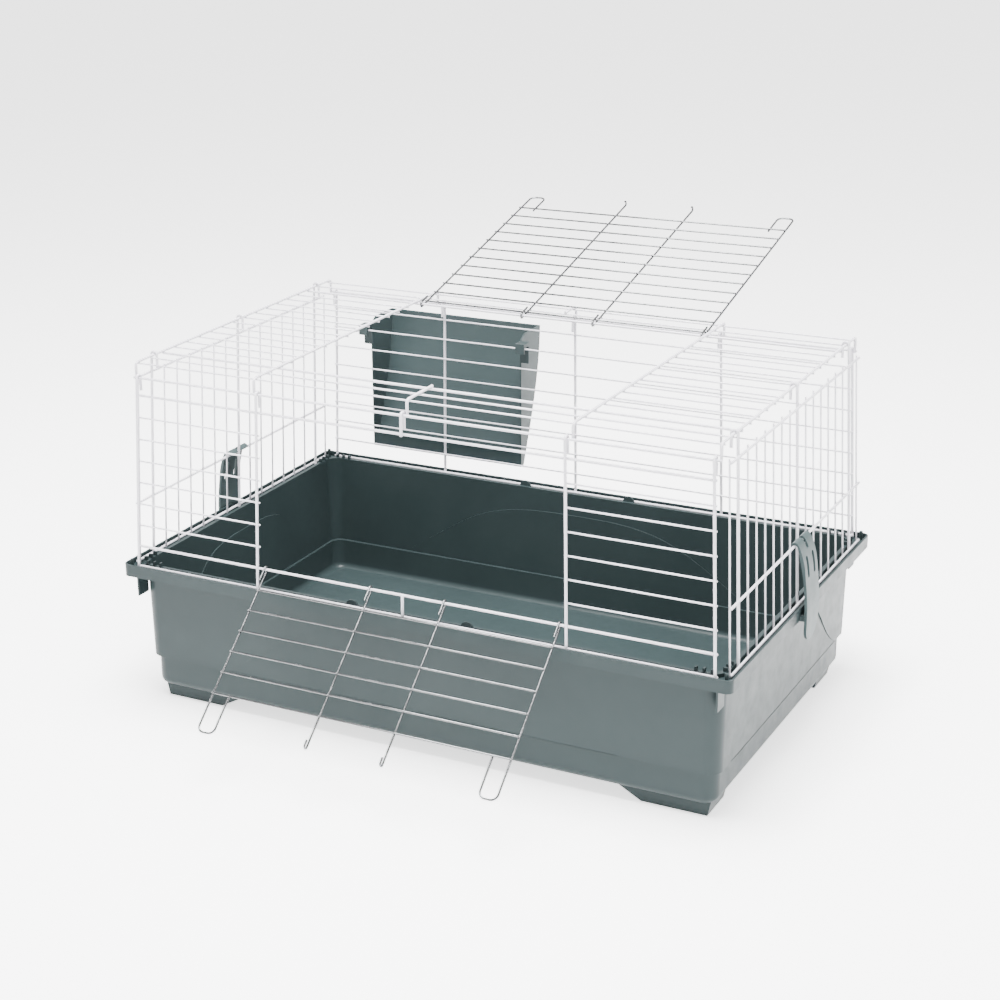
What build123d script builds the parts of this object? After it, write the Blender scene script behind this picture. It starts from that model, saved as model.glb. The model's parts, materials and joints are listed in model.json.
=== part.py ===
import os
from math import asin, atan2, cos, hypot, radians, sin

from build123d import *

os.makedirs("parts", exist_ok=True)

# ---------------------------------------------------------------- driving sizes
# Millimetres.  X runs along the cage, Y from front to back, Z up from the floor.

# tray
tray_length = 800.0
tray_width = 500.0
rim_top = 186.0
rim_corner = 9.0
skirt_depth = 15.5
lip_wall = 2.5
channel_depth = 6.5           # from the rim down to the channel's floor
channel_wall = 2.5
wall = 2.6
wall_offset = 17.0            # outer face of the wall, in from the rim's edge
wall_draft = 1.0              # degrees
wall_corner = 18.0
inner_lip_drop = 2.0          # how far the inner lip stays below the rim
inner_lip_wall = 5.0
step_height = 59.0
step_inset = 4.3
floor_top = 20.0
floor_under = 17.0
base_fillet = 11.0
foot_inset = 35.0
foot_length = 80.0
foot_width = 52.0
foot_slope = 33.0
hump_depth = 0.4              # recess of a bell at its foot
hump_tilt = 0.9               # degrees that a bell leans in from its wall
hump_skin = 0.05              # the backing starts this far behind the recess
hump_waist_front = 0.43       # height share of a bell's flank, three quarters of the way out
hump_waist_side = 0.32
hump_rise = 95.0
hump_margin_front = 138.0     # from the rim's end to the foot of the bell on the long wall
hump_margin_side = 62.0

# wire
post_r = 1.75                 # posts and roof rails
rod_r = 1.6                   # heavy cross rods
wire_r = 1.1                  # thin wires
door_r = 1.25                 # long wires of the doors
weld = 0.1                    # how far crossing wires are pressed together
hook_gap = 0.2                # play between a hook and the rod it holds
hinge_gap = 0.3               # play between a door hook and its hinge rod
wire_end = 2.0                # how far a wire runs past the last one it crosses

# wire top, set out from the tray's rim and channel
seat_rise = 4.0               # lowest rods, above the channel's floor
seat_in_front = 6.4           # front and back posts, in from the rim's edge
seat_in_side = 11.36          # side uprights, in from the rim's edge
end_post_in = 21.0            # end posts of the front and back, in from the rim's end
hinge_rise = 24.0             # heights above the rim
clip_rise = 74.0
front_top_rise = 218.5
side_top_rise = 235.5
edge_rod_rise = 240.4
roof_rise = 258.5             # centre of the roof rails
fan = 0.03                    # share by which a wall narrows from seat to edge rod
front_lean = 0.0267           # inward shift per millimetre of height
side_lean = 0.0469
door_post_x = 203.7
front_wire_count = 6
back_wire_count = 8
side_wire_pitch = 27.5        # wanted gap between side wires, which the width rounds
side_wire_in = 23.6           # last side wire, in from the front post's seat
side_post_from_end = 1        # thick posts stand this many wires in from the last
post_tip_drop = 3.2           # how far an upright runs below the seat rod's centre

roof_inner_x = 204.0
roof_wire_half = 9            # wires on each side of the middle
roof_wire_in = 5.9            # last roof wire, in from the bend of the rails
roof_rail_bend = 5.0
roof_stub_x = 0.0
front_stub_x = -4.5
hook_tail = 20.0

# doors
front_door_half = 193.5
front_door_inner = 49.0
front_door_wire_count = 6
front_door_loop = 216.0
front_door_hook = 208.0
front_door_hook_tail = 9.4
front_door_drop = 41.0        # degrees below level, as it lies open
roof_door_half = 197.0
roof_door_inner = 50.0
roof_door_wire_count = 12
roof_door_first = 11.0
roof_door_last = 35.2         # from the last wire to the rod that the door closes on
roof_door_loop_past = 5.0
roof_door_hook_past = 6.0
roof_door_hook_tail = 3.3     # short, so that it swings past the rod it closes on
loop_width = 22.0
loop_bend = 8.0
door_tail = 17.0

# latches
latch_width = 44.0
latch_wall = 3.2
latch_pivot_in = 6.0          # pins, in from the rim's edge
latch_pivot_drop = 14.0       # and below its top
latch_pin_r = 2.0
latch_pin_clearance = 0.1
latch_side_gap = 0.5
latch_ear = 4.0
latch_tab = 31.0              # from the pins down to the tab's end
latch_face = ((4.2, 52.0), (8.0, 12.0), (7.6, -14.0))  # beyond the rim's end, above the pins
latch_toe = 6.2               # tab's end, beyond the rim's end
latch_swell = 0.2             # extra thickness halfway down
latch_round = 19.0            # height of the tab's rounded end
latch_tab_half = 0.47         # half width where that rounding starts, as a share of the width
claw_over = 4.5               # claw's tip, past the rod it holds
claw_crest = (1.5, 3.4)       # top of the claw, beyond and above the rod it holds
claw_shoulder = (9.5, 8.0)    # and where it turns down, beyond and below
claw_wall = 3.3
claw_notch_drop = 18.0        # height of the gap between the two claws
claw_slot = 26.0              # length of the slot in each claw

# hay rack
rack_center_x = -203.0
rack_width = 232.0
rack_gap = 1.0                # between the rack and the posts it hangs against
rack_wall = 2.2
rack_foot_rise = 20.0         # foot of the rack, above the tray's rim
rack_height = 186.0
rack_depth = 60.0
rack_belly = ((0.92, 46.0), (0.56, 122.0))  # share of the depth at two drops below the top
rack_toe = 8.0                # depth left at the foot of the rack
rack_cheek_drop = 8.0         # how far the cheeks slope down towards the cage
rack_cheek_run = 12.0
rack_lip = 21.0               # height of the lip across the foot of the rack
rack_notch_width = 8.0
rack_notch_depth = 9.0
rack_wire = 6                 # back wire that the rack hooks over, from the lowest
rack_ear_width = 11.0
rack_ear_drop = 38.0          # ears start this far below the rack's top
rack_ear_height = 30.0
rack_hook_gap = 0.3
rack_hook_wall = 2.6
rack_hook_reach = 1.0         # play between the hook's lip and the wire
rack_hook_drop = 8.0          # how far the hook's lip hangs down inside the cage

# ---------------------------------------------------------------- derived sizes
half_length = tray_length / 2
half_width = tray_width / 2
channel_floor = rim_top - channel_depth
inner_lip_top = rim_top - inner_lip_drop
seat_z = channel_floor + seat_rise
front_hinge_z = rim_top + hinge_rise
clip_rod_z = rim_top + clip_rise
front_top_z = rim_top + front_top_rise
side_top_z = rim_top + side_top_rise
edge_rod_z = rim_top + edge_rod_rise
roof_z = rim_top + roof_rise
wire_top_rise = edge_rod_z - seat_z
front_seat_y = half_width - seat_in_front
end_post_x = half_length - end_post_in
front_pitch = (front_top_z - front_hinge_z) / (front_wire_count + 1)
post_to_rod = post_r + rod_r - weld
post_to_wire = post_r + wire_r - weld
hook_bend = rod_r + hook_gap + post_r
side_hook_bend = 2 * post_r + hook_gap
edge_rod_depth = hook_bend
roof_rail_x = half_length - seat_in_side - side_hook_bend - side_lean * (roof_z - seat_z)
side_wire_half = round((front_seat_y - side_wire_in) / side_wire_pitch)
side_post_step = side_wire_half - side_post_from_end
side_wire_gap = (front_seat_y - side_wire_in) / side_wire_half
latch_pivot_x = half_length - latch_pivot_in
latch_pivot_z = rim_top - latch_pivot_drop
latch_bottom_z = latch_pivot_z - latch_tab
rack_bottom_z = rim_top + rack_foot_rise
rack_top_z = rack_bottom_z + rack_height
rack_ear_bottom = rack_top_z - rack_ear_drop
rack_ear_top = rack_ear_bottom + rack_ear_height


def shrink(z):
    """Share of its seat position that a wall wire keeps at height z."""
    return 1 - fan * (z - seat_z) / wire_top_rise


def front_y(z, depth=0.0):
    """Distance of the front or back wall from the middle, depth millimetres inside its posts."""
    return front_seat_y - depth - front_lean * (z - seat_z)


def side_x(z, depth=0.0):
    """Distance of a side wall from the middle, depth millimetres inside its posts."""
    return roof_rail_x + side_hook_bend - depth + side_lean * (roof_z - z)


def rod(start, end, radius):
    """A straight wire, added to the part in hand."""
    start, end = Vector(start), Vector(end)
    along = end - start
    with BuildSketch(Plane(origin=start, z_dir=along)) as section:
        Circle(radius)
    extrude(section.sketch, amount=along.length)


def bent_wire(points, bends, radius):
    """A wire bent at the inner points of its path, added to the part in hand."""
    with BuildLine() as path:
        FilletPolyline(*points, radius=bends)
    with BuildSketch(Plane(origin=path.line @ 0, z_dir=path.line % 0)) as section:
        Circle(radius)
    sweep(section.sketch, path=path.line)


def save(part, name):
    """Label a finished piece and write its file."""
    part.label = name
    export_step(part, f"parts/{name}.step")


def bell_points(half, rise, waist):
    """Half of a bell outline, from its foot to its crown."""
    return [(-half, 0), (-0.77 * half, waist * rise), (-0.5 * half, 0.84 * rise), (0, rise)]


# ---------------------------------------------------------------- tray
def inset_plate(inset, corner):
    """A rounded plate of the tray's outline, drawn in by the inset."""
    RectangleRounded(tray_length - 2 * inset, tray_width - 2 * inset, corner)


wall_rise = channel_floor - channel_wall - step_height
draft_shift = wall_rise * sin(radians(wall_draft))
step_offset = wall_offset + draft_shift
base_offset = step_offset + step_inset
lug_x = 76.0
lug_r = 8.0
lug_in = wall_offset + wall - inner_lip_wall
comb_pitch = 9.5
comb_start = 28.0
comb_rise = 6.0
comb_teeth = 3
tooth = 2.5
peg_r = 2.2
peg_top = rim_top + 5
peg_in = 9.0
fin_in = 16.0
fin_from_corner = 18.0
fin_reach = 20.0
fin_bottom = rim_top - 42.0
fin_height = channel_floor - 1 - fin_bottom
fin_x = half_length - fin_from_corner
fin_y = half_width - fin_in
comb_x = half_length - lug_in - tooth
comb_y = half_width - lug_in - tooth
comb_z = inner_lip_top - 1
ear_height = channel_floor - channel_wall / 2 - latch_pivot_z
ear_r = 4.4
notch_top = rim_top - 9.5

# the space inside the tray, a wall thickness in from its outside
with BuildPart() as cavity:
    with BuildSketch(Plane.XY.offset(floor_top)):
        inset_plate(base_offset + wall, wall_corner - wall)
    extrude(amount=step_height + wall - floor_top)
    fillet(cavity.faces().sort_by(Axis.Z)[0].edges(), base_fillet - wall)
    with BuildSketch(Plane.XY.offset(step_height + wall)):
        inset_plate(step_offset + wall, wall_corner - wall)
    extrude(amount=wall_rise + rim_top - channel_floor, taper=-wall_draft)

with BuildPart() as tray:
    with BuildSketch(Plane.XY.offset(floor_under)):
        inset_plate(base_offset, wall_corner)
    extrude(amount=step_height - floor_under)
    fillet(tray.faces().sort_by(Axis.Z)[0].edges(), base_fillet)
    with BuildSketch(Plane.XY.offset(step_height)):
        inset_plate(step_offset, wall_corner)
    extrude(amount=wall_rise, taper=-wall_draft)
    with BuildSketch(Plane.XY.offset(rim_top - skirt_depth)):
        inset_plate(0, rim_corner)
    extrude(amount=skirt_depth)
    # hollow under the rim, between the skirt and the wall
    with BuildSketch(Plane.XY.offset(rim_top - skirt_depth)):
        inset_plate(lip_wall, rim_corner - lip_wall)
        RectangleRounded(
            tray_length - 2 * wall_offset,
            tray_width - 2 * wall_offset,
            wall_corner,
            mode=Mode.SUBTRACT,
        )
    extrude(amount=channel_floor - channel_wall - rim_top + skirt_depth, mode=Mode.SUBTRACT)
    # channel for the wire top, and the lower inner lip beside it
    with BuildSketch(Plane.XY.offset(inner_lip_top)):
        inset_plate(lip_wall, rim_corner - lip_wall)
    extrude(amount=rim_top - inner_lip_top, mode=Mode.SUBTRACT)
    with BuildSketch(Plane.XY.offset(channel_floor)):
        inset_plate(lip_wall, rim_corner - lip_wall)
        RectangleRounded(
            tray_length - 2 * lug_in,
            tray_width - 2 * lug_in,
            wall_corner,
            mode=Mode.SUBTRACT,
        )
    extrude(amount=inner_lip_top - channel_floor, mode=Mode.SUBTRACT)
    # inside of the tray
    add(cavity.part, mode=Mode.SUBTRACT)
    # bell-shaped panels pressed into the four walls
    for turn, reach, half, waist in (
        (0, half_width, half_length - hump_margin_front, hump_waist_front),
        (180, half_width, half_length - hump_margin_front, hump_waist_front),
        (90, half_length, half_width - hump_margin_side, hump_waist_side),
        (270, half_length, half_width - hump_margin_side, hump_waist_side),
    ):
        lean = radians(wall_draft - hump_tilt)
        outward = Vector(0, -cos(lean), -sin(lean)).rotate(Axis.Z, turn)
        across = Vector(1, 0, 0).rotate(Axis.Z, turn)
        foot = Vector(0, -(reach - step_offset), step_height).rotate(Axis.Z, turn)
        crown = bell_points(half, hump_rise, waist)
        other_side = [(-x, z) for x, z in reversed(crown[:-1])]
        recess = hump_rise * sin(radians(hump_tilt)) + lip_wall
        # the recess, then a wall's thickness of material behind it
        for back, amount, mode in (
            (hump_depth, hump_depth + recess, Mode.SUBTRACT),
            (hump_depth + wall, wall - hump_skin, Mode.ADD),
        ):
            with BuildSketch(Plane(origin=foot - outward * back, x_dir=across, z_dir=outward)):
                with BuildLine():
                    Spline(*crown, *other_side)
                    Line(other_side[-1], crown[0])
                make_face()
            extrude(amount=amount, mode=mode)
    # corner feet with sloped arches between them
    for end in (-1, 1):
        for side in (-1, 1):
            outer = half_length - foot_inset
            inner = outer - foot_length
            start = half_width - foot_inset
            with BuildSketch(Plane.XZ.offset(-side * start)):
                with BuildLine():
                    Polyline(
                        (end * outer, 0),
                        (end * inner, 0),
                        (end * (inner - foot_slope), floor_under + 1),
                        (end * (outer + 4), floor_under + 1),
                        close=True,
                    )
                make_face()
            extrude(amount=side * foot_width)
    # half-round lugs that hold the wire top down, and comb teeth and pegs at its corners
    for side in (-1, 1):
        for x in (-lug_x, lug_x):
            with BuildSketch(Plane.XZ.offset(-side * (half_width - lug_in))):
                with Locations((x, inner_lip_top - 1)):
                    Circle(lug_r)
                    Rectangle(3 * lug_r, 2 * lug_r, align=(Align.CENTER, Align.MAX), mode=Mode.SUBTRACT)
            extrude(amount=-side * tooth)
        for end in (-1, 1):
            for count in range(comb_teeth):
                away = comb_start + count * comb_pitch
                with Locations((end * (half_length - away), side * comb_y, comb_z)):
                    Box(tooth, 2 * tooth, comb_rise, align=(Align.CENTER, Align.CENTER, Align.MIN))
                with Locations((end * comb_x, side * (half_width - away), comb_z)):
                    Box(2 * tooth, tooth, comb_rise, align=(Align.CENTER, Align.CENTER, Align.MIN))
            with Locations((end * (half_length - peg_in), side * (half_width - peg_in), channel_floor)):
                Cylinder(peg_r, peg_top - channel_floor, align=(Align.CENTER, Align.CENTER, Align.MIN))
            # fin under the rim
            with Locations((end * fin_x, side * fin_y, fin_bottom)):
                Box(tooth, fin_reach, fin_height, align=(Align.CENTER, Align.CENTER, Align.MIN))
    # notch in the skirt for each latch, with an ear at each side that carries its pins
    for end in (-1, 1):
        ear_y = latch_width / 2 + latch_side_gap + latch_ear / 2
        with Locations((end * half_length, 0, rim_top - skirt_depth - 1)):
            Box(
                2 * lip_wall + 2,
                latch_width + 2 * latch_side_gap,
                notch_top - rim_top + skirt_depth + 1,
                align=(Align.CENTER, Align.CENTER, Align.MIN),
                mode=Mode.SUBTRACT,
            )
        for side in (-1, 1):
            with BuildSketch(Plane.XZ.offset(-side * (ear_y - latch_ear / 2))):
                with Locations((end * latch_pivot_x, latch_pivot_z)):
                    Circle(ear_r)
                    Rectangle(2 * ear_r, ear_height, align=(Align.CENTER, Align.MIN))
            extrude(amount=-side * latch_ear)
            with Locations(Plane(origin=(end * latch_pivot_x, side * ear_y, latch_pivot_z), z_dir=(0, 1, 0))):
                Cylinder(latch_pin_r + latch_pin_clearance, 2 * latch_ear, mode=Mode.SUBTRACT)
save(tray.part, "tray")

# ---------------------------------------------------------------- roof panel
roof_end_y = front_y(edge_rod_z) - edge_rod_depth - post_to_rod
roof_wire_gap = (roof_end_y - roof_wire_in) / (roof_wire_half - 0.5)
roof_wire_z = roof_z - (post_r + wire_r - weld)
roof_rod_z = roof_z - post_to_rod
edge_rod_y = front_y(edge_rod_z) - edge_rod_depth
hinge_row = roof_wire_half - 3
hinge_y = (hinge_row + 0.5) * roof_wire_gap
roof_wire_x = roof_rail_x + wire_end


def roof_rail(x, low_y, high_y, bend_front, bend_back):
    """A rail along the roof whose ends bend down onto the edge rods."""
    foot_z = edge_rod_z - rod_r
    points = [(x, low_y, roof_z), (x, high_y, roof_z)]
    if bend_front:
        points.insert(0, (x, low_y, foot_z))
    if bend_back:
        points.append((x, high_y, foot_z))
    bent_wire(points, roof_rail_bend, post_r)


for name, x in (
    ("roof_rail_outer_left", -roof_rail_x),
    ("roof_rail_inner_left", -roof_inner_x),
    ("roof_rail_inner_right", roof_inner_x),
    ("roof_rail_outer_right", roof_rail_x),
):
    with BuildPart() as rail:
        roof_rail(x, -roof_end_y, roof_end_y, True, True)
    save(rail.part, name)

with BuildPart() as stub:
    roof_rail(roof_stub_x, -roof_end_y, -hinge_y + post_r, True, False)
save(stub.part, "roof_stub_front")

with BuildPart() as stub:
    roof_rail(roof_stub_x, hinge_y + roof_wire_gap - post_r, roof_end_y, False, True)
save(stub.part, "roof_stub_back")

for name, y in (("roof_edge_rod_front", -edge_rod_y), ("roof_edge_rod_back", edge_rod_y)):
    with BuildPart() as edge_rod:
        rod((-roof_wire_x, y, edge_rod_z), (roof_wire_x, y, edge_rod_z), rod_r)
    save(edge_rod.part, name)

for name, y in (("roof_stop_rod", -hinge_y), ("roof_hinge_rod", hinge_y)):
    with BuildPart() as heavy_rod:
        rod((-roof_wire_x, y, roof_rod_z), (roof_wire_x, y, roof_rod_z), rod_r)
    save(heavy_rod.part, name)

for name, side in (("roof_wires_front", -1), ("roof_wires_back", 1)):
    with BuildPart() as wires:
        for row in range(hinge_row + 1, roof_wire_half):
            y = side * (row + 0.5) * roof_wire_gap
            rod((-roof_wire_x, y, roof_wire_z), (roof_wire_x, y, roof_wire_z), wire_r)
    save(wires.part, name)

for name, outer, inner in (
    ("roof_wires_left", -roof_wire_x, -roof_inner_x + wire_end),
    ("roof_wires_right", roof_wire_x, roof_inner_x - wire_end),
):
    with BuildPart() as wires:
        for row in range(-hinge_row, hinge_row):
            y = (row + 0.5) * roof_wire_gap
            rod((outer, y, roof_wire_z), (inner, y, roof_wire_z), wire_r)
    save(wires.part, name)


# ---------------------------------------------------------------- front and back panels
def wall_point(side, x, z, depth):
    """A point of the front (side -1) or back (side 1) wall."""
    return Vector(x * shrink(z), side * front_y(z, depth), z)


def wall_rod(side, x_from, x_to, z, radius):
    """A level wire of the front or back wall, behind its posts."""
    depth = post_r + radius - weld
    rod(wall_point(side, x_from, z, depth), wall_point(side, x_to, z, depth), radius)


def hooked_post(side, x, z_low):
    """An upright whose top is bent over the edge rod, with its tail inside the cage."""
    top_z = edge_rod_z + hook_bend
    top = wall_point(side, x, top_z, 0)
    inside = Vector(top.X, side * (edge_rod_y - hook_bend), top_z)
    tail = Vector(top.X, inside.Y, top_z - hook_tail)
    start = wall_point(side, x, z_low, 0)
    bent_wire([start, top, inside, tail], hook_bend - weld / 2, post_r)


post_low = seat_z - post_tip_drop
door_wire_in = door_post_x - post_r - wire_end + 1.0

for name, x in (
    ("front_post_left", -end_post_x),
    ("front_door_post_left", -door_post_x),
    ("front_door_post_right", door_post_x),
    ("front_post_right", end_post_x),
):
    with BuildPart() as post:
        hooked_post(-1, x, post_low)
    save(post.part, name)

with BuildPart() as stub:
    hooked_post(-1, front_stub_x, front_top_z - rod_r)
save(stub.part, "front_stub_top")

with BuildPart() as stub:
    stub_top = front_hinge_z + rod_r
    rod(wall_point(-1, front_stub_x, post_low, 0), wall_point(-1, front_stub_x, stub_top, 0), post_r)
save(stub.part, "front_stub_bottom")

for name, side, z, radius in (
    ("front_top_rod", -1, front_top_z, rod_r),
    ("front_hinge_rod", -1, front_hinge_z, rod_r),
    ("front_seat_rod", -1, seat_z, rod_r),
    ("back_seat_rod", 1, seat_z, rod_r),
):
    with BuildPart() as level_rod:
        wall_rod(side, -end_post_x - wire_end, end_post_x + wire_end, z, radius)
    save(level_rod.part, name)

for name, outer, inner in (
    ("front_wires_left", -end_post_x - wire_end, -door_wire_in),
    ("front_wires_right", end_post_x + wire_end, door_wire_in),
):
    with BuildPart() as wires:
        for count in range(1, front_wire_count + 1):
            wall_rod(-1, outer, inner, front_hinge_z + count * front_pitch, wire_r)
    save(wires.part, name)

for name, x in (
    ("back_post_left", -end_post_x),
    ("back_post_mid_left", -door_post_x),
    ("back_post_middle", front_stub_x),
    ("back_post_mid_right", door_post_x),
    ("back_post_right", end_post_x),
):
    with BuildPart() as post:
        hooked_post(1, x, post_low)
    save(post.part, name)

with BuildPart() as wires:
    for count in range(back_wire_count):
        wire_z = front_hinge_z + count * front_pitch
        wall_rod(1, -end_post_x - wire_end, end_post_x + wire_end, wire_z, wire_r)
save(wires.part, "back_wires")


# ---------------------------------------------------------------- side panels
def side_point(side, y, z, depth):
    """A point of the left (side -1) or right (side 1) wall."""
    return Vector(side * side_x(z, depth), y / shrink(side_top_z) * shrink(z), z)


def side_rod(side, z, half, radius):
    """A level rod of a side wall, outside its uprights."""
    depth = -(post_r + radius - weld)
    rod(side_point(side, -half, z, depth), side_point(side, half, z, depth), radius)


side_half = side_wire_half * side_wire_gap + wire_r + wire_end
for side, word in ((-1, "left"), (1, "right")):
    with BuildPart() as posts:
        for row in (-side_post_step, 0, side_post_step):
            y = row * side_wire_gap
            top_z = roof_z + side_hook_bend
            start = side_point(side, y, post_low, 0)
            top = side_point(side, y, top_z, 0)
            inside = Vector(side * (roof_rail_x - side_hook_bend), top.Y, top_z)
            tail = Vector(inside.X, top.Y, top_z - hook_tail)
            bent_wire([start, top, inside, tail], side_hook_bend - weld / 2, post_r)
    save(posts.part, f"side_posts_{word}")
    with BuildPart() as wires:
        thin_depth = -(post_r - wire_r)
        for row in range(-side_wire_half, side_wire_half + 1):
            if row % side_post_step:
                y = row * side_wire_gap
                low = side_point(side, y, post_low, thin_depth)
                high = side_point(side, y, side_top_z + rod_r + wire_end, thin_depth)
                rod(low, high, wire_r)
    save(wires.part, f"side_wires_{word}")
    for name, z in (("top", side_top_z), ("clip", clip_rod_z), ("seat", seat_z)):
        with BuildPart() as level_rod:
            side_rod(side, z, side_half, rod_r)
        save(level_rod.part, f"side_{name}_rod_{word}")


# ---------------------------------------------------------------- doors
def door_point(hinge, direction, inward, x, along, off):
    """A point of a door: along its length from the hinge, off towards its inner side."""
    return hinge + Vector(x, 0, 0) + direction * along + inward * off


def hinged_wire(hinge, direction, inward, x, radius, rod_radius):
    """The start of a door wire: tail, then the hairpin around its hinge rod."""
    bend = rod_radius + hinge_gap + radius
    tail = door_point(hinge, direction, inward, x, door_tail, bend)
    near = door_point(hinge, direction, inward, x, -bend, bend)
    far = door_point(hinge, direction, inward, x, -bend, -bend)
    return bend, [tail, near, far]


def loop_wire(hinge, direction, inward, x, reach, last_wire, rod_radius):
    """An edge wire of a door, which ends in a loop that serves as a handle."""
    bend, points = hinged_wire(hinge, direction, inward, x, door_r, rod_radius)
    towards = -loop_width if x > 0 else loop_width
    for at, along in ((x, reach), (x + towards, reach), (x + towards, last_wire - wire_end)):
        points.append(door_point(hinge, direction, inward, at, along, -bend))
    bends = [bend - weld / 2, bend - weld / 2, loop_bend, loop_bend]
    bent_wire(points, bends, door_r)


def hook_wire(hinge, direction, inward, x, reach, tail, rod_radius):
    """An inner wire of a door, whose free end is a small hook with the given tail."""
    bend, points = hinged_wire(hinge, direction, inward, x, door_r, rod_radius)
    points.append(door_point(hinge, direction, inward, x, reach, -bend))
    points.append(door_point(hinge, direction, inward, x, reach, bend))
    points.append(door_point(hinge, direction, inward, x, reach - tail, bend))
    bent_wire(points, bend - weld / 2, door_r)


def make_door(prefix, hinge, direction, inward, half, inner, loop, hook, hook_back, wires_at):
    """All the wires of one door."""
    bend = rod_r + hinge_gap + door_r
    for word, x in (("left", -half), ("right", half)):
        with BuildPart() as edge:
            loop_wire(hinge, direction, inward, x, loop, wires_at[-1], rod_r)
        save(edge.part, f"{prefix}_edge_{word}")
    with BuildPart() as inner_wires:
        for x in (-inner, inner):
            hook_wire(hinge, direction, inward, x, hook, hook_back, rod_r)
    save(inner_wires.part, f"{prefix}_hook_wires")
    with BuildPart() as cross:
        off = -bend + door_r + wire_r - weld
        reach = half + door_r
        for along in wires_at:
            start = door_point(hinge, direction, inward, -reach, along, off)
            end = door_point(hinge, direction, inward, reach, along, off)
            rod(start, end, wire_r)
    save(cross.part, f"{prefix}_cross_wires")


drop = radians(front_door_drop)
front_hinge = Vector(0, -front_y(front_hinge_z, post_to_rod), front_hinge_z)
front_wires_at = [(count + 1) * front_pitch for count in range(front_door_wire_count)]
make_door(
    "front_door",
    front_hinge,
    Vector(0, -cos(drop), -sin(drop)),
    Vector(0, -sin(drop), cos(drop)),
    front_door_half,
    front_door_inner,
    front_door_loop,
    front_door_hook,
    front_door_hook_tail,
    front_wires_at,
)

# the open roof door leans back on the first thin wire behind its hinge
roof_hinge = Vector(0, hinge_y, roof_rod_z)
rest_rise = roof_wire_z - roof_rod_z
rest_gap = rod_r + hinge_gap + 2 * door_r + wire_r + hinge_gap
lean = asin(rest_gap / hypot(roof_wire_gap, rest_rise)) + atan2(rest_rise, roof_wire_gap)
roof_door_gap = (2 * hinge_y - roof_door_first - roof_door_last) / (roof_door_wire_count - 1)
roof_wires_at = [roof_door_first + count * roof_door_gap for count in range(roof_door_wire_count)]
make_door(
    "roof_door",
    roof_hinge,
    Vector(0, cos(lean), sin(lean)),
    Vector(0, -sin(lean), cos(lean)),
    roof_door_half,
    roof_door_inner,
    2 * hinge_y + roof_door_loop_past,
    2 * hinge_y + roof_door_hook_past,
    roof_door_hook_tail,
    roof_wires_at,
)

# ---------------------------------------------------------------- latches
clip_x = side_x(clip_rod_z, -post_to_rod)
clip_radius = hypot(latch_pivot_x - clip_x, clip_rod_z - latch_pivot_z) + rod_r + hinge_gap
knuckle_r = latch_pin_r + 2.0

claw_z = latch_pivot_z + clip_radius
claw_tip = (clip_x - claw_over, claw_z - 1.0)
latch_outer = [(half_length + out, latch_pivot_z + rise) for out, rise in latch_face]
latch_inner = [(x - latch_wall - latch_swell, z) for x, z in reversed(latch_outer)]
latch_end = half_length + latch_toe
tab_half = latch_tab_half * latch_width
round_z = latch_bottom_z + latch_round
latch_half = latch_width / 2
above_claw = claw_z + 10
claw_half = 0.07 * latch_width
slot_y = 0.24 * latch_width

for side, word in ((-1, "left"), (1, "right")):
    with BuildPart() as latch:
        with BuildSketch(Plane.XZ):
            with BuildLine():
                Spline(
                    claw_tip,
                    (clip_x + claw_crest[0], claw_z + claw_crest[1]),
                    (clip_x + claw_shoulder[0], claw_z - claw_shoulder[1]),
                    *latch_outer,
                    (latch_end, latch_bottom_z),
                )
                Line((latch_end, latch_bottom_z), (latch_end - latch_wall, latch_bottom_z))
                Spline(
                    (latch_end - latch_wall, latch_bottom_z),
                    *latch_inner,
                    (clip_x + claw_shoulder[0] - claw_wall, claw_z - claw_shoulder[1] - 1.0),
                    (clip_x + claw_crest[0] + 0.7, claw_z),
                    claw_tip,
                )
            make_face()
        extrude(amount=latch_half, both=True)
        # the lever ends in a rounded finger tab below and two slotted claws above
        with BuildSketch(Plane.YZ):
            with BuildLine():
                Polyline(
                    (-tab_half, round_z),
                    (-latch_half, latch_pivot_z),
                    (-latch_half, above_claw),
                    (latch_half, above_claw),
                    (latch_half, latch_pivot_z),
                    (tab_half, round_z),
                )
                ThreePointArc((tab_half, round_z), (0, latch_bottom_z), (-tab_half, round_z))
            make_face()
        extrude(amount=2 * half_length, mode=Mode.INTERSECT)
        with BuildSketch(Plane.YZ):
            with Locations((0, claw_z)):
                Rectangle(2 * claw_half, claw_notch_drop)
            for y in (-slot_y, slot_y):
                with Locations((y, claw_z - claw_slot - 2)):
                    SlotOverall(claw_slot, 2 * claw_half, rotation=90)
        extrude(amount=2 * half_length, mode=Mode.SUBTRACT)
        # knuckle and web that reach through the notch to the pins
        with BuildSketch(Plane.XZ):
            with Locations((latch_pivot_x, latch_pivot_z)):
                Circle(knuckle_r)
            with BuildLine():
                Polyline(
                    (latch_pivot_x, latch_pivot_z + knuckle_r),
                    (latch_end - 0.2, latch_pivot_z + knuckle_r - 1.0),
                    (latch_end - 0.2, latch_pivot_z - knuckle_r),
                    (latch_pivot_x, latch_pivot_z - knuckle_r),
                    close=True,
                )
            make_face()
        extrude(amount=latch_half - 4.0, both=True)
        with BuildSketch(Plane.XZ):
            with Locations((latch_pivot_x, latch_pivot_z)):
                Circle(latch_pin_r)
        extrude(amount=latch_half + latch_side_gap + latch_ear - 0.5, both=True)
    made = latch.part if side > 0 else mirror(latch.part, about=Plane.YZ)
    save(made, f"latch_{word}")

# ---------------------------------------------------------------- hay rack
rack_front_y = front_y(rack_bottom_z) + post_r + rack_gap
rack_wire_z = front_hinge_z + rack_wire * front_pitch
rack_wire_y = front_y(rack_wire_z, post_to_wire)
rack_end_x = rack_width / 2
hook_under_z = rack_wire_z + wire_r + rack_hook_gap
hook_lip_y = rack_wire_y - wire_r - rack_hook_reach - rack_hook_wall

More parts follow.
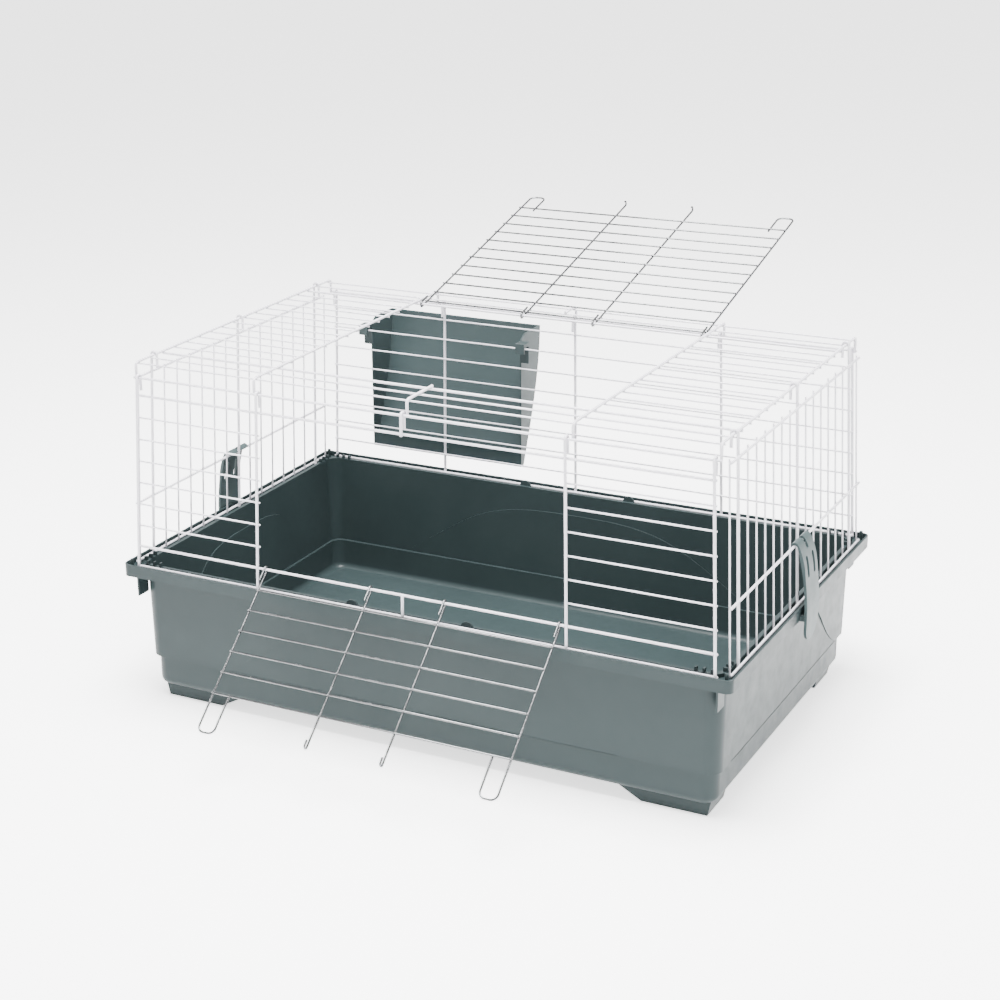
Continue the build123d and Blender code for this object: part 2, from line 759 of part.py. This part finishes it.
with BuildPart() as hay_rack:
    with BuildSketch(Plane.YZ.offset(rack_center_x - rack_end_x)):
        with BuildLine():
            Polyline(
                (rack_front_y, rack_bottom_z),
                (rack_front_y, rack_top_z - rack_cheek_drop),
                (rack_front_y + rack_cheek_run, rack_top_z),
                (rack_front_y + rack_depth, rack_top_z),
            )
            Spline(
                (rack_front_y + rack_depth, rack_top_z),
                *[(rack_front_y + rack_depth * share, rack_top_z - drop) for share, drop in rack_belly],
                (rack_front_y + rack_toe, rack_bottom_z),
            )
            Line((rack_front_y + rack_toe, rack_bottom_z), (rack_front_y, rack_bottom_z))
        make_face()
    extrude(amount=rack_width)
    # open on top, along the sloped shoulder and towards the cage
    open_faces = hay_rack.faces().filter_by(lambda face: face.normal_at().Z > 0.5)
    open_faces.append(hay_rack.faces().sort_by(Axis.Y)[0])
    offset(amount=-rack_wall, openings=open_faces)
    # lip across the foot, notched where a post stands
    with Locations((rack_center_x, rack_front_y, rack_bottom_z)):
        Box(rack_width, rack_wall, rack_lip, align=(Align.CENTER, Align.MIN, Align.MIN))
    with Locations((-door_post_x, rack_front_y, rack_bottom_z + rack_lip)):
        Box(
            rack_notch_width,
            rack_wall,
            rack_notch_depth,
            align=(Align.CENTER, Align.MIN, Align.MAX),
            mode=Mode.SUBTRACT,
        )
    # an ear at each end, whose hook hangs over a wire of the back wall
    for end in (-1, 1):
        ear_x = rack_center_x + end * (rack_end_x + (rack_ear_width - rack_wall) / 2)
        with BuildSketch(Plane.YZ.offset(ear_x)):
            with BuildLine():
                Polyline(
                    (rack_front_y + rack_wall, rack_ear_bottom),
                    (rack_front_y + rack_wall, rack_ear_top),
                    (hook_lip_y, rack_ear_top),
                    (hook_lip_y, hook_under_z - rack_hook_drop),
                    (hook_lip_y + rack_hook_wall, hook_under_z - rack_hook_drop),
                    (hook_lip_y + rack_hook_wall, hook_under_z),
                    (rack_front_y, hook_under_z),
                    (rack_front_y, rack_ear_bottom),
                    close=True,
                )
            make_face()
        extrude(amount=(rack_ear_width + rack_wall) / 2, both=True)
save(hay_rack.part, "hay_rack")
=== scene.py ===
import json
from math import cos, radians, sin

import bmesh
import bpy
import numpy as np
from mathutils import Matrix, Vector

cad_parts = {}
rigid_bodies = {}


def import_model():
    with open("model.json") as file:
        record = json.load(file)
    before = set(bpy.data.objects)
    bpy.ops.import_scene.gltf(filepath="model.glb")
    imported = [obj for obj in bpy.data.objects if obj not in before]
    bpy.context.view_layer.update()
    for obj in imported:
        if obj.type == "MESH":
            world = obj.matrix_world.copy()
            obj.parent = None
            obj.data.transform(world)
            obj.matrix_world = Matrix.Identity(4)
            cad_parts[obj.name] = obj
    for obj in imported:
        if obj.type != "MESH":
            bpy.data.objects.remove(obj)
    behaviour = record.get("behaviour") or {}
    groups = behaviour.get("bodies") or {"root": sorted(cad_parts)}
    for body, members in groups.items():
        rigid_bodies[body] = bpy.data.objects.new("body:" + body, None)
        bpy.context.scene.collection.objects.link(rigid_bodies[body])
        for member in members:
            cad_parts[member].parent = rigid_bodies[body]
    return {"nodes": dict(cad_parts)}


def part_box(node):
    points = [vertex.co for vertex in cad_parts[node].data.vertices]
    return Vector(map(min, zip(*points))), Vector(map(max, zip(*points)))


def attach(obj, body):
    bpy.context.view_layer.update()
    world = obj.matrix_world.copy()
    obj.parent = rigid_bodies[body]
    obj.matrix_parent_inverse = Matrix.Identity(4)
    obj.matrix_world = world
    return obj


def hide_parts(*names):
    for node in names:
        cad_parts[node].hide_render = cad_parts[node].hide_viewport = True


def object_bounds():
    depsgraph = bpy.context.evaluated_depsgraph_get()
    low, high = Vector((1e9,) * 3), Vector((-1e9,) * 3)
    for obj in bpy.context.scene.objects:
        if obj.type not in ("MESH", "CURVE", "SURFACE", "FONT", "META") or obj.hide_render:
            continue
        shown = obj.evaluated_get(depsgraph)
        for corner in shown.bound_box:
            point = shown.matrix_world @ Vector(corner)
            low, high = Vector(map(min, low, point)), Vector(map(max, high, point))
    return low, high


for leftover in list(bpy.data.objects):
    bpy.data.objects.remove(leftover)

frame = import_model()
cad_low, cad_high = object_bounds()

# ------------------------------------------------------------------ moulded tray
# The tray is one deep injection moulding in grey-green plastic: a rim with a skirt and a channel, walls
# with shallow bells pressed into them, a stepped base and four feet. Every edge keeps the small radius
# that its mould was cut with.
tray_edge_round = 0.0007
small_edge_round = 0.0006     # latches and hay rack
merge_distance = 0.00001
flat_angle = radians(0.5)     # faces closer to level than this are joined
corner_angle = radians(32)    # and past this an edge counts as a real corner
tray_light = (0.022, 0.032, 0.033)
tray_dark = (0.019, 0.028, 0.029)


def add_node(tree, kind, **values):
    """A shader or geometry node with its named sockets set."""
    made = tree.nodes.new(kind)
    for socket, value in values.items():
        made.inputs[socket.replace("_", " ")].default_value = value
    return made


def plastic_material(name, light, dark, gloss_low, gloss_high):
    """Moulded plastic: faint flow clouds in the colour, uneven gloss and a fine mould grain."""
    material = bpy.data.materials.new(name)
    material.use_nodes = True
    tree = material.node_tree
    surface = tree.nodes["Principled BSDF"]
    surface.inputs["IOR"].default_value = 1.49
    surface.inputs["Specular IOR Level"].default_value = 0.14
    place = add_node(tree, "ShaderNodeTexCoord")

    flow = add_node(tree, "ShaderNodeTexNoise", Scale=7.0, Detail=3.0, Roughness=0.55, Distortion=0.6)
    tint = add_node(tree, "ShaderNodeValToRGB")
    tint.color_ramp.elements[0].position = 0.35
    tint.color_ramp.elements[0].color = (*dark, 1)
    tint.color_ramp.elements[1].position = 0.65
    tint.color_ramp.elements[1].color = (*light, 1)
    tree.links.new(place.outputs["Object"], flow.inputs["Vector"])
    tree.links.new(flow.outputs["Fac"], tint.inputs["Fac"])
    tree.links.new(tint.outputs["Color"], surface.inputs["Base Color"])

    sheen = add_node(tree, "ShaderNodeTexNoise", Scale=45.0, Detail=4.0, Roughness=0.6)
    gloss = add_node(tree, "ShaderNodeMapRange", To_Min=gloss_low, To_Max=gloss_high)
    tree.links.new(place.outputs["Object"], sheen.inputs["Vector"])
    tree.links.new(sheen.outputs["Fac"], gloss.inputs["Value"])
    tree.links.new(gloss.outputs["Result"], surface.inputs["Roughness"])

    grain = add_node(tree, "ShaderNodeTexNoise", Scale=420.0, Detail=1.0, Roughness=0.4)
    relief = add_node(tree, "ShaderNodeBump", Strength=0.05, Distance=0.0002)
    tree.links.new(place.outputs["Object"], grain.inputs["Vector"])
    tree.links.new(grain.outputs["Fac"], relief.inputs["Height"])
    tree.links.new(relief.outputs["Normal"], surface.inputs["Normal"])
    return material


def moulded_piece(name, node, edge_round, material):
    """A closed copy of a part with its mould radii, smooth but for its real corners."""
    piece = bpy.data.objects.new(name, frame["nodes"][node].data.copy())
    bpy.context.scene.collection.objects.link(piece)
    shape = bmesh.new()
    shape.from_mesh(piece.data)
    bmesh.ops.remove_doubles(shape, verts=shape.verts, dist=merge_distance)
    bmesh.ops.dissolve_limit(shape, angle_limit=flat_angle, verts=shape.verts, edges=shape.edges)
    shape.to_mesh(piece.data)
    shape.free()
    stored_normals = piece.data.attributes.get("custom_normal")
    if stored_normals:
        piece.data.attributes.remove(stored_normals)
    piece.data.shade_smooth()
    piece.data.set_sharp_from_angle(angle=corner_angle)
    rounding = piece.modifiers.new("mould radii", "BEVEL")
    rounding.width = edge_round
    rounding.segments = 2
    rounding.limit_method = "ANGLE"
    rounding.angle_limit = corner_angle
    rounding.harden_normals = True
    piece.data.materials.clear()
    piece.data.materials.append(material)
    return piece


tray_plastic = plastic_material("tray_plastic", tray_light, tray_dark, 0.20, 0.50)
tray = moulded_piece("tray_moulding", "tray", tray_edge_round, tray_plastic)
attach(tray, "cage")
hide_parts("tray")

# ------------------------------------------------------------------ side panels
# Each side is a welded grid: thin upright wires and three thick posts behind three level rods, dipped in
# white powder coat after welding. The posts' ends are bent over the roof's outer rails.
wire_sides = 16
nugget_segments = 10
nugget_rings = 6
nugget_spread = 0.85          # half width of a weld nugget, as a share of the thinner wire
nugget_stretch = 1.7          # and its half length along the wire
press_slack = 0.0003          # wires closer than this are taken as welded
parallel = 0.9                # cosine above which two wires run side by side and don't cross
post_foot = 0.001             # slice of a post, from its foot, that gives its radius
leg_low = 4.5                 # band under a post's bend that shows its leg, in radii below its top
leg_high = 2.4
tip_length = 0.5              # the rounded end of a cut wire, in radii
tip_narrowing = 0.6


def powder_material():
    """White powder coat: a soft skin with the faint ripple of a baked coat."""
    material = bpy.data.materials.new("white_powder_coat")
    material.use_nodes = True
    tree = material.node_tree
    surface = tree.nodes["Principled BSDF"]
    surface.inputs["IOR"].default_value = 1.5
    surface.inputs["Coat Weight"].default_value = 0.25
    surface.inputs["Coat Roughness"].default_value = 0.22
    place = add_node(tree, "ShaderNodeTexCoord")
    cloud = add_node(tree, "ShaderNodeTexNoise", Scale=18.0, Detail=2.0)
    tint = add_node(tree, "ShaderNodeValToRGB")
    tint.color_ramp.elements[0].color = (0.50, 0.485, 0.53, 1)
    tint.color_ramp.elements[1].color = (0.64, 0.63, 0.66, 1)
    tree.links.new(place.outputs["Object"], cloud.inputs["Vector"])
    tree.links.new(cloud.outputs["Fac"], tint.inputs["Fac"])
    tree.links.new(tint.outputs["Color"], surface.inputs["Base Color"])
    ripple = add_node(tree, "ShaderNodeTexNoise", Scale=700.0, Detail=3.0)
    gloss = add_node(tree, "ShaderNodeMapRange", To_Min=0.34, To_Max=0.5)
    relief = add_node(tree, "ShaderNodeBump", Strength=0.15, Distance=0.0002)
    tree.links.new(place.outputs["Object"], ripple.inputs["Vector"])
    tree.links.new(ripple.outputs["Fac"], gloss.inputs["Value"])
    tree.links.new(gloss.outputs["Result"], surface.inputs["Roughness"])
    tree.links.new(ripple.outputs["Fac"], relief.inputs["Height"])
    tree.links.new(relief.outputs["Normal"], surface.inputs["Normal"])
    return material


def wire_tree():
    """Turns edges into round wires, and lone points into weld nuggets."""
    tree = bpy.data.node_groups.new("welded wires", "GeometryNodeTree")
    face = tree.interface
    face.new_socket("Geometry", in_out="INPUT", socket_type="NodeSocketGeometry")
    face.new_socket("Wire Sides", in_out="INPUT", socket_type="NodeSocketInt")
    face.new_socket("Nugget Segments", in_out="INPUT", socket_type="NodeSocketInt")
    face.new_socket("Nugget Rings", in_out="INPUT", socket_type="NodeSocketInt")
    face.new_socket("Material", in_out="INPUT", socket_type="NodeSocketMaterial")
    face.new_socket("Geometry", in_out="OUTPUT", socket_type="NodeSocketGeometry")
    given = add_node(tree, "NodeGroupInput")
    result = add_node(tree, "NodeGroupOutput")

    is_weld = add_node(tree, "GeometryNodeInputNamedAttribute", Name="is_weld")
    is_weld.data_type = "BOOLEAN"
    parted = add_node(tree, "GeometryNodeSeparateGeometry")
    tree.links.new(given.outputs["Geometry"], parted.inputs["Geometry"])
    tree.links.new(is_weld.outputs["Attribute"], parted.inputs["Selection"])

    thickness = add_node(tree, "GeometryNodeInputNamedAttribute", Name="thickness")
    lines = add_node(tree, "GeometryNodeMeshToCurve")
    section = add_node(tree, "GeometryNodeCurvePrimitiveCircle", Radius=1.0)
    tube = add_node(tree, "GeometryNodeCurveToMesh", Fill_Caps=True)
    tree.links.new(parted.outputs["Inverted"], lines.inputs["Mesh"])
    tree.links.new(given.outputs["Wire Sides"], section.inputs["Resolution"])
    tree.links.new(lines.outputs["Curve"], tube.inputs["Curve"])
    tree.links.new(section.outputs["Curve"], tube.inputs["Profile Curve"])
    tree.links.new(thickness.outputs["Attribute"], tube.inputs["Scale"])

    along = add_node(tree, "GeometryNodeInputNamedAttribute", Name="along")
    along.data_type = "FLOAT_VECTOR"
    spread = add_node(tree, "GeometryNodeInputNamedAttribute", Name="spread")
    spread.data_type = "FLOAT_VECTOR"
    turn = add_node(tree, "FunctionNodeAlignRotationToVector")
    turn.axis = "X"
    bead = add_node(tree, "GeometryNodeMeshUVSphere", Radius=1.0)
    welds = add_node(tree, "GeometryNodeInstanceOnPoints")
    tree.links.new(along.outputs["Attribute"], turn.inputs["Vector"])
    tree.links.new(given.outputs["Nugget Segments"], bead.inputs["Segments"])
    tree.links.new(given.outputs["Nugget Rings"], bead.inputs["Rings"])
    tree.links.new(parted.outputs["Selection"], welds.inputs["Points"])
    tree.links.new(bead.outputs["Mesh"], welds.inputs["Instance"])
    tree.links.new(turn.outputs["Rotation"], welds.inputs["Rotation"])
    tree.links.new(spread.outputs["Attribute"], welds.inputs["Scale"])

    joined = add_node(tree, "GeometryNodeJoinGeometry")
    real = add_node(tree, "GeometryNodeRealizeInstances")
    smooth = add_node(tree, "GeometryNodeSetShadeSmooth")
    coated = add_node(tree, "GeometryNodeSetMaterial")
    tree.links.new(tube.outputs["Mesh"], joined.inputs["Geometry"])
    tree.links.new(welds.outputs["Instances"], joined.inputs["Geometry"])
    tree.links.new(joined.outputs["Geometry"], real.inputs["Geometry"])
    tree.links.new(real.outputs["Geometry"], smooth.inputs["Geometry"])
    tree.links.new(smooth.outputs["Geometry"], coated.inputs["Geometry"])
    tree.links.new(given.outputs["Material"], coated.inputs["Material"])
    tree.links.new(coated.outputs["Geometry"], result.inputs["Geometry"])
    return tree


def islands(node):
    """The separate solids of a part, each as an array of its points."""
    shape = bmesh.new()
    shape.from_mesh(frame["nodes"][node].data)
    bmesh.ops.remove_doubles(shape, verts=shape.verts, dist=merge_distance)
    waiting = set(shape.verts)
    found = []
    while waiting:
        group = {waiting.pop()}
        edge_of_group = list(group)
        while edge_of_group:
            point = edge_of_group.pop()
            for edge in point.link_edges:
                other = edge.other_vert(point)
                if other in waiting:
                    waiting.remove(other)
                    group.add(other)
                    edge_of_group.append(other)
        found.append(np.array([tuple(vert.co) for vert in group]))
    shape.free()
    return sorted(found, key=lambda points: tuple(points.mean(0).round(4)))


def straight_wires(*nodes):
    """Start, end and radius of each straight wire in these parts."""
    found = []
    for node in nodes:
        for points in islands(node):
            centre = points.mean(0)
            direction = np.linalg.svd(points - centre, full_matrices=False)[2][0]
            reach = (points - centre) @ direction
            radius = np.linalg.norm(points - centre - np.outer(reach, direction), axis=1).max()
            start, end = (Vector(centre + direction * far) for far in (reach.min(), reach.max()))
            found.append((start, end, radius))
    return found


def uprights(axis, *nodes):
    """Start, end and radius of the straight leg of each hooked post; axis 0 or 1 points out of its wall."""
    found = []
    for node in nodes:
        for points in islands(node):
            height = points[:, 2]
            foot = points[height < height.min() + post_foot]
            radius = np.linalg.norm((foot - foot.mean(0))[:, :2], axis=1).max()
            below = (height.max() - height) / radius
            level = points[(below < leg_low) & (below > leg_high)]
            outward = np.abs(level[:, axis])
            leg = level[outward > outward.mean()]
            found.append((Vector(foot.mean(0)), Vector(leg.mean(0)), radius))
    return found


def welds_between(first, second):
    """Where two sets of wires cross and touch: the place, the run of the thinner wire, and its radius."""
    found = []
    for a_start, a_end, a_radius in first:
        for b_start, b_end, b_radius in second:
            a, b = a_end - a_start, b_end - b_start
            lean = a.dot(b) / (a.length * b.length)
            if abs(lean) > parallel:
                continue
            gap = a_start - b_start
            spread = a.dot(a) * b.dot(b) - a.dot(b) ** 2
            at_a = (a.dot(b) * b.dot(gap) - b.dot(b) * a.dot(gap)) / spread
            at_b = (a.dot(a) * b.dot(gap) - a.dot(b) * a.dot(gap)) / spread
            if not (0 <= at_a <= 1 and 0 <= at_b <= 1):
                continue
            on_a, on_b = a_start + a * at_a, b_start + b * at_b
            if (on_a - on_b).length < a_radius + b_radius + press_slack:
                share = a_radius / (a_radius + b_radius)
                thinner = a if a_radius < b_radius else b
                found.append((on_a.lerp(on_b, share), thinner.normalized(), min(a_radius, b_radius)))
    return found


def wire_piece(name, wires, welds, material):
    """One mesh of round wires with rounded cut ends and a nugget at every weld."""
    points, edges, thickness, is_weld, along, spread = [], [], [], [], [], []
    for start, end, radius in wires:
        direction = (end - start).normalized()
        for at, share in (
            (start, tip_narrowing),
            (start + direction * radius * tip_length, 1.0),
            (end - direction * radius * tip_length, 1.0),
            (end, tip_narrowing),
        ):
            points.append(at)
            thickness.append(radius * share)
        count = len(points)
        edges += [(count - 4, count - 3), (count - 3, count - 2), (count - 2, count - 1)]
    is_weld += [False] * len(points)
    along += [Vector((1, 0, 0))] * len(points)
    spread += [Vector((0, 0, 0))] * len(points)
    for place, direction, radius in welds:
        points.append(place)
        thickness.append(0.0)
        is_weld.append(True)
        along.append(direction)
        spread.append(Vector((nugget_stretch, nugget_spread, nugget_spread)) * radius)
    plan = bpy.data.meshes.new(f"{name}_plan")
    plan.from_pydata(points, edges, [])
    plan.attributes.new("thickness", "FLOAT", "POINT").data.foreach_set("value", thickness)
    plan.attributes.new("is_weld", "BOOLEAN", "POINT").data.foreach_set("value", is_weld)
    for label, vectors in (("along", along), ("spread", spread)):
        attribute = plan.attributes.new(label, "FLOAT_VECTOR", "POINT")
        attribute.data.foreach_set("vector", [part for vector in vectors for part in vector])
    piece = bpy.data.objects.new(name, plan)
    bpy.context.scene.collection.objects.link(piece)
    maker = piece.modifiers.new("welded wires", "NODES")
    maker.node_group = welded_wires
    named = [item for item in welded_wires.interface.items_tree if item.in_out == "INPUT"]
    sockets = {item.name: item.identifier for item in named}
    maker[sockets["Wire Sides"]] = wire_sides
    maker[sockets["Nugget Segments"]] = nugget_segments
    maker[sockets["Nugget Rings"]] = nugget_rings
    maker[sockets["Material"]] = material
    view_layer = bpy.context.evaluated_depsgraph_get()
    made = bpy.data.meshes.new_from_object(piece.evaluated_get(view_layer))
    piece.modifiers.remove(maker)
    piece.data = made
    made.name = name
    return piece


def coat(material, *nodes):
    """Gives parts that keep their own shape their finish."""
    for node in nodes:
        mesh = frame["nodes"][node].data
        mesh.materials.clear()
        mesh.materials.append(material)


powder = powder_material()
welded_wires = wire_tree()

for word in ("left", "right"):
    thin, posts = f"side_wires_{word}", f"side_posts_{word}"
    rods = [f"side_top_rod_{word}", f"side_clip_rod_{word}", f"side_seat_rod_{word}"]
    wires, level = straight_wires(thin), straight_wires(*rods)
    welds = welds_between(level, wires + uprights(0, posts))
    panel = wire_piece(f"side_panel_{word}", wires + level, welds, powder)
    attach(panel, "cage")
    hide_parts(thin, *rods)
    coat(powder, posts)

# ------------------------------------------------------------------ front panel
# The front is a grid with a doorway in its middle: short thin wires on each side, and thick level rods
# above and below that the door hangs from and hooks on. Its posts bend over the roof's front rod.
front_posts = ["front_post_left", "front_door_post_left", "front_door_post_right", "front_post_right"]
front_straight = ["front_stub_bottom", "front_top_rod", "front_hinge_rod", "front_seat_rod"]
front_thin = ["front_wires_left", "front_wires_right"]
wires = straight_wires(*front_straight, *front_thin)
standing = uprights(1, *front_posts, "front_stub_top") + straight_wires("front_stub_bottom")
welds = welds_between(wires, standing)
front_panel = wire_piece("front_panel", wires, welds, powder)
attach(front_panel, "cage")
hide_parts(*front_straight, *front_thin)
coat(powder, *front_posts, "front_stub_top")

# ------------------------------------------------------------------ back panel
# The back is closed: eight thin wires run from end to end behind five hooked posts, over one seat rod
# that drops into the tray's channel.
back_posts = [f"back_post_{place}" for place in ("left", "mid_left", "middle", "mid_right", "right")]
wires = straight_wires("back_seat_rod", "back_wires")
back_panel = wire_piece("back_panel", wires, welds_between(wires, uprights(1, *back_posts)), powder)
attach(back_panel, "cage")
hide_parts("back_seat_rod", "back_wires")
coat(powder, *back_posts)

# ------------------------------------------------------------------ roof panel
# The roof is a grid of thin cross wires under four long rails, whose ends turn down onto an edge rod at
# the front and the back. Two thick rods bound the opening: one the door turns on, one it closes against.
roof_bent = [
    "roof_rail_outer_left",
    "roof_rail_inner_left",
    "roof_rail_inner_right",
    "roof_rail_outer_right",
    "roof_stub_front",
    "roof_stub_back",
]
roof_rods = ["roof_edge_rod_front", "roof_edge_rod_back", "roof_stop_rod", "roof_hinge_rod"]
roof_thin = ["roof_wires_front", "roof_wires_back", "roof_wires_left", "roof_wires_right"]


def rails(*nodes):
    """Start, end and radius of each rail's level run."""
    found = []
    for node in nodes:
        low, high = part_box(node)
        radius, middle = (high.x - low.x) / 2, (high.x + low.x) / 2
        start, end = (Vector((middle, y, high.z - radius)) for y in (low.y, high.y))
        found.append((start, end, radius))
    return found


wires = straight_wires(*roof_rods, *roof_thin)
roof_panel = wire_piece("roof_panel", wires, welds_between(wires, rails(*roof_bent)), powder)
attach(roof_panel, "cage")
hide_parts(*roof_rods, *roof_thin)
coat(powder, *roof_bent)

# ------------------------------------------------------------------ doors
# Both doors are welded from bright zinc-plated wire, not coated: long wires with a hairpin round the
# hinge rod at one end, and at the other a hook, or a loop that serves as the handle.


def zinc_material():
    """Bright zinc plate: metal whose colour is darkened as painted shade for dark reflections, with faint
    drawing lines and a patchy brightness.
    """
    material = bpy.data.materials.new("bright_zinc")
    material.use_nodes = True
    tree = material.node_tree
    surface = tree.nodes["Principled BSDF"]
    surface.inputs["Metallic"].default_value = 1.0
    place = add_node(tree, "ShaderNodeTexCoord")
    patch = add_node(tree, "ShaderNodeTexNoise", Scale=60.0, Detail=4.0)
    tint = add_node(tree, "ShaderNodeValToRGB")
    # The metal's colour is kept dark as painted shade that stands in for the dark reflections real zinc
    # shows; the patches vary it at random.
    tint.color_ramp.elements[0].color = (0.08, 0.083, 0.086, 1)
    tint.color_ramp.elements[1].color = (0.20, 0.204, 0.208, 1)
    gloss = add_node(tree, "ShaderNodeMapRange", To_Min=0.16, To_Max=0.34)
    fine = add_node(tree, "ShaderNodeTexNoise", Scale=1100.0, Detail=2.0)
    relief = add_node(tree, "ShaderNodeBump", Strength=0.08, Distance=0.0001)
    tree.links.new(place.outputs["Object"], patch.inputs["Vector"])
    tree.links.new(patch.outputs["Fac"], tint.inputs["Fac"])
    tree.links.new(patch.outputs["Fac"], gloss.inputs["Value"])
    tree.links.new(tint.outputs["Color"], surface.inputs["Base Color"])
    tree.links.new(gloss.outputs["Result"], surface.inputs["Roughness"])
    tree.links.new(place.outputs["Object"], fine.inputs["Vector"])
    tree.links.new(fine.outputs["Fac"], relief.inputs["Height"])
    tree.links.new(relief.outputs["Normal"], surface.inputs["Normal"])
    return material


door_wire_width = 0.0026      # a long wire of a door with its slack, taken at its outermost run


def door_welds(cross_wires, long_nodes):
    """A nugget wherever a long wire lies on a cross wire; the long wires' runs are read from their parts."""
    first, last = cross_wires[0], cross_wires[-1]
    run = ((last[0] + last[1]) - (first[0] + first[1])).normalized()
    long_wires = []
    for node in long_nodes:
        for points in islands(node):
            outer = points[np.abs(points[:, 0]) > np.abs(points[:, 0]).max() - door_wire_width]
            middle = (outer[:, 0].min() + outer[:, 0].max()) / 2
            radius = (outer[:, 0].max() - outer[:, 0].min()) / 2
            reach = outer @ np.array(run)
            side = outer @ np.array(run.cross(Vector((1, 0, 0))))
            far = side[reach > np.median(reach)]
            level = (far.min() + far.max()) / 2
            normal = run.cross(Vector((1, 0, 0)))
            start = Vector((middle, 0, 0)) + normal * level + run * reach.min()
            long_wires.append((start, start + run * (reach.max() - reach.min()), radius))
    return welds_between(cross_wires, long_wires)


zinc = zinc_material()
for door in ("front_door", "roof_door"):
    long_nodes = [f"{door}_edge_left", f"{door}_edge_right", f"{door}_hook_wires"]
    cross = sorted(straight_wires(f"{door}_cross_wires"), key=lambda wire: wire[0].y)
    grid = wire_piece(f"{door}_grid", cross, door_welds(cross, long_nodes), zinc)
    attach(grid, door)
    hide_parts(f"{door}_cross_wires")
    coat(zinc, *long_nodes)

# ------------------------------------------------------------------ latches
# A latch on each end clips the wire top down: one moulded lever that pivots on two pins under the rim,
# with two claws on top that snap over a rod, and a thumb tab below.
latch_plastic = plastic_material("latch_plastic", (0.046, 0.064, 0.065), (0.040, 0.057, 0.058), 0.24, 0.54)
for word in ("left", "right"):
    latch = moulded_piece(f"latch_lever_{word}", f"latch_{word}", small_edge_round, latch_plastic)
    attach(latch, f"latch_{word}")
    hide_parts(f"latch_{word}")

# ------------------------------------------------------------------ hay rack
# The rack is a thin moulded bin that hangs outside the back wall on two ears, open on top and towards
# the cage, so that hay is pulled in between the wires.
rack_plastic = plastic_material("rack_plastic", (0.030, 0.043, 0.044), (0.027, 0.039, 0.041), 0.22, 0.52)
rack = moulded_piece("hay_rack_bin", "hay_rack", small_edge_round, rack_plastic)
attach(rack, "hay_rack")
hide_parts("hay_rack")

# ------------------------------------------------------------------ floor, light and viewpoint
# The cage stands on a wide white floor in a pale surround, as in a packshot studio: one broad soft light
# from the right, one overhead and a weaker one from the left.
floor_reach = 30.0
floor_material = bpy.data.materials.new("studio_floor")
floor_material.use_nodes = True
floor_surface = floor_material.node_tree.nodes["Principled BSDF"]
floor_surface.inputs["Base Color"].default_value = (0.9, 0.9, 0.9, 1)
floor_surface.inputs["Roughness"].default_value = 0.7
floor_surface.inputs["Emission Color"].default_value = (1, 1, 1, 1)
floor_surface.inputs["Emission Strength"].default_value = 1.8
floor_mesh = bpy.data.meshes.new("studio_floor")
floor_mesh.from_pydata(
    [(x * floor_reach, y * floor_reach, cad_low.z) for x, y in ((-1, -1), (1, -1), (1, 1), (-1, 1))],
    [],
    [(0, 1, 2, 3)],
)
floor_mesh.materials.append(floor_material)
floor = bpy.data.objects.new("studio_floor", floor_mesh)
bpy.context.scene.collection.objects.link(floor)

surround = bpy.data.worlds.new("studio")
surround.use_nodes = True
surround.node_tree.nodes["Background"].inputs["Color"].default_value = (1, 1, 1, 1)
surround.node_tree.nodes["Background"].inputs["Strength"].default_value = 1.4
bpy.context.scene.world = surround

light_target = Vector((0, 0, 0.2))
for name, place, size, power in (
    ("key_light", (3.0, 0.5, 1.9), 1.8, 55),
    ("fill_light", (-2.2, -2.4, 2.0), 2.4, 15),
    ("top_light", (0.0, -0.3, 2.6), 1.6, 420),
):
    lamp = bpy.data.lights.new(name, "AREA")
    lamp.size = size
    lamp.energy = power
    light = bpy.data.objects.new(name, lamp)
    light.location = place
    light.rotation_euler = (light_target - Vector(place)).to_track_quat("-Z", "Y").to_euler()
    bpy.context.scene.collection.objects.link(light)

azimuth, elevation, roll = radians(29.5), radians(20.33), radians(-1.39)
aim = Vector((-0.13528, -0.02795, 0.20504))
distance = 2.60968
back = Vector((sin(azimuth) * cos(elevation), -cos(azimuth) * cos(elevation), sin(elevation)))
across = Vector((0, 0, 1)).cross(back).normalized()
upward = back.cross(across)
right = across * cos(roll) + upward * sin(roll)
top = upward * cos(roll) - across * sin(roll)
lens = bpy.data.cameras.new("viewpoint")
lens.sensor_width = 36.0
lens.lens = 73.8
lens.shift_x = 0.1063
lens.shift_y = 0.0252
lens.clip_end = 100.0
viewpoint = bpy.data.objects.new("viewpoint", lens)
facing = Matrix((right, top, back)).transposed().to_4x4()
viewpoint.matrix_world = Matrix.Translation(aim + back * distance) @ facing
bpy.context.scene.collection.objects.link(viewpoint)
bpy.context.scene.camera = viewpoint
